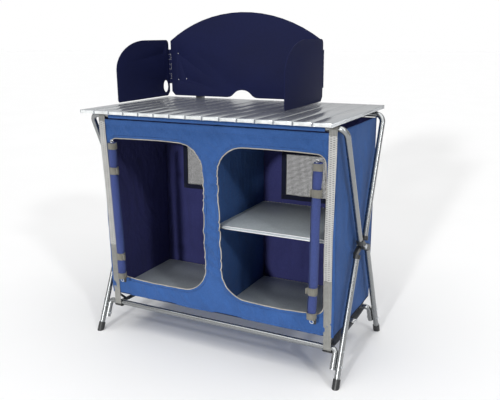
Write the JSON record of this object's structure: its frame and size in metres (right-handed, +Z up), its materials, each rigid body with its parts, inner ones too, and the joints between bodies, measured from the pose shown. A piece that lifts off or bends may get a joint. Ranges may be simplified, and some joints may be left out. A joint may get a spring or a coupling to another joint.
{
  "type": "camp kitchen table",
  "caption": "Folding camp kitchen table with a slatted aluminium roll-up top, scissor tube frame, hanging fabric cupboard with shelf and a hinged folding windscreen.",
  "frame": {"origin": "on the ground midway between the four feet, at the bottom centre of the bounding box", "axes": "+Z up, +X to the right seen from the front, +Y to the rear, where the windscreen's back panel stands"},
  "size_m": [0.9626, 0.5335, 1.154],
  "materials": {
    "slat_aluminium": "brushed satin",
    "tube_aluminium": "satin tube",
    "pin_steel": "plain",
    "black_plastic": "moulded, fine grain",
    "grey_plastic": "moulded, fine grain",
    "elastic": "braided shock cord",
    "blue_cloth": "coated oxford weave",
    "navy_cloth": "coated oxford weave",
    "violet_cloth": "coated oxford weave",
    "mesh_cloth": "open polyester net",
    "webbing": "woven strap",
    "board": "grey coated hardboard",
    "screen_board": "fine grained sheet"
  },
  "bodies": {
    "pivots": {"pivot_pin_left": "pin_steel", "pivot_pin_right": "pin_steel"},
    "outer_frame": {"front_top_tube": "tube_aluminium", "rear_lower_rail": "tube_aluminium", "rear_leg_left": "tube_aluminium", "rear_leg_right": "tube_aluminium", "rear_foot_cap_left": "black_plastic", "rear_foot_cap_right": "black_plastic", "outer_joint_left": "grey_plastic", "outer_joint_right": "grey_plastic"},
    "inner_frame": {"rear_top_tube": "tube_aluminium", "front_lower_rail": "tube_aluminium", "front_leg_left": "tube_aluminium", "front_leg_right": "tube_aluminium", "front_foot_cap_left": "black_plastic", "front_foot_cap_right": "black_plastic", "inner_joint_left": "black_plastic", "inner_joint_right": "black_plastic"},
    "worktop": {"slat_01": "slat_aluminium", "slat_02": "slat_aluminium", "slat_03": "slat_aluminium", "slat_04": "slat_aluminium", "slat_05": "slat_aluminium", "slat_06": "slat_aluminium", "slat_07": "slat_aluminium", "slat_08": "slat_aluminium", "slat_09": "slat_aluminium", "slat_10": "slat_aluminium", "slat_11": "slat_aluminium", "slat_12": "slat_aluminium", "slat_13": "slat_aluminium", "slat_14": "slat_aluminium", "slat_15": "slat_aluminium", "slat_cord": "elastic", "windscreen_rear": "screen_board", "screen_hinge_pin_left": "pin_steel", "screen_hinge_pin_right": "pin_steel", "screen_clip_left": "black_plastic", "screen_clip_right": "black_plastic"},
    "wing_left": {"windscreen_wing_left": "screen_board"},
    "wing_right": {"windscreen_wing_right": "screen_board"},
    "cabinet": {"cabinet_front": "blue_cloth", "cabinet_rear": "navy_cloth", "cabinet_side_left": "blue_cloth", "cabinet_side_right": "blue_cloth", "cabinet_divider": "navy_cloth", "cabinet_bottom": "navy_cloth", "mesh_window_left": "mesh_cloth", "mesh_window_right": "mesh_cloth", "door_roll_left": "violet_cloth", "door_roll_right": "violet_cloth"},
    "floor_boards": {"floor_board_left": "board", "floor_board_right": "board"},
    "shelf_board": {"shelf": "board"},
    "upper_straps": {"strap_upper_left": "webbing", "strap_upper_right": "webbing"},
    "lower_straps": {"strap_lower_left": "webbing", "strap_lower_right": "webbing"},
    "base_straps": {"base_strap_left": "webbing", "base_strap_right": "webbing"}
  },
  "joints": [
    {"name": "frame_fold", "type": "hinge", "parent": "pivots", "child": "outer_frame", "pos_m": [0, 0, 0.4], "axis": [-1, 0, 0], "range_deg": [0, 22]},
    {"name": "inner_frame_fold", "type": "hinge", "parent": "pivots", "child": "inner_frame", "pos_m": [0, 0, 0.4], "axis": [1, 0, 0], "range_deg": [0, 22]},
    {"name": "worktop_lift", "type": "slide", "parent": "pivots", "child": "worktop", "axis": [0, 0, 1], "range_m": [0, 0.085]},
    {"name": "cabinet_rise", "type": "slide", "parent": "pivots", "child": "cabinet", "axis": [0, 0, 1], "range_m": [0, 0.043], "deforming": ["cabinet_front", "cabinet_rear", "cabinet_side_left", "cabinet_side_right", "cabinet_divider", "cabinet_bottom", "mesh_window_left", "mesh_window_right", "door_roll_left", "door_roll_right"]},
    {"name": "base_strap_drop", "type": "slide", "parent": "pivots", "child": "base_straps", "axis": [0, 0, -1], "range_m": [0, 0.047], "deforming": ["base_strap_left", "base_strap_right"]},
    {"name": "floor_board_turn", "type": "hinge", "parent": "cabinet", "child": "floor_boards", "pos_m": [0, -0.08585, 0.24915], "axis": [1, 0, 0], "range_deg": [0, 90]},
    {"name": "shelf_turn", "type": "hinge", "parent": "cabinet", "child": "shelf_board", "pos_m": [0, -0.009, 0.458], "axis": [1, 0, 0], "range_deg": [0, 90]},
    {"name": "upper_strap_swing", "type": "hinge", "parent": "outer_frame", "child": "upper_straps", "pos_m": [0, -0.19, 0.808], "axis": [1, 0, 0], "range_deg": [0, 19], "deforming": ["strap_upper_left", "strap_upper_right"]},
    {"name": "lower_strap_swing", "type": "hinge", "parent": "inner_frame", "child": "lower_straps", "pos_m": [0, -0.17713, 0.108], "axis": [-1, 0, 0], "range_deg": [0, 26], "deforming": ["strap_lower_left", "strap_lower_right"]},
    {"name": "wing_left_swing", "type": "hinge", "parent": "worktop", "child": "wing_left", "pos_m": [-0.436, 0.2607, 0.837], "axis": [0, 0, 1], "range_deg": [-15, 88]},
    {"name": "wing_right_swing", "type": "hinge", "parent": "worktop", "child": "wing_right", "pos_m": [0.218, 0.2607, 0.837], "axis": [0, 0, -1], "range_deg": [-15, 84]}
  ],
  "couplings": [
    {"joint": "inner_frame_fold", "follows": "frame_fold", "ratio": 1},
    {"joint": "worktop_lift", "follows": "frame_fold", "m_per_rad": 0.21},
    {"joint": "cabinet_rise", "follows": "frame_fold", "m_per_rad": 0.108},
    {"joint": "base_strap_drop", "follows": "frame_fold", "m_per_rad": 0.1174},
    {"joint": "floor_board_turn", "follows": "frame_fold", "ratio": 4.0908},
    {"joint": "shelf_turn", "follows": "frame_fold", "ratio": 4.0908},
    {"joint": "upper_strap_swing", "follows": "frame_fold", "ratio": 0.8478},
    {"joint": "lower_strap_swing", "follows": "frame_fold", "ratio": 1.1522}
  ]
}
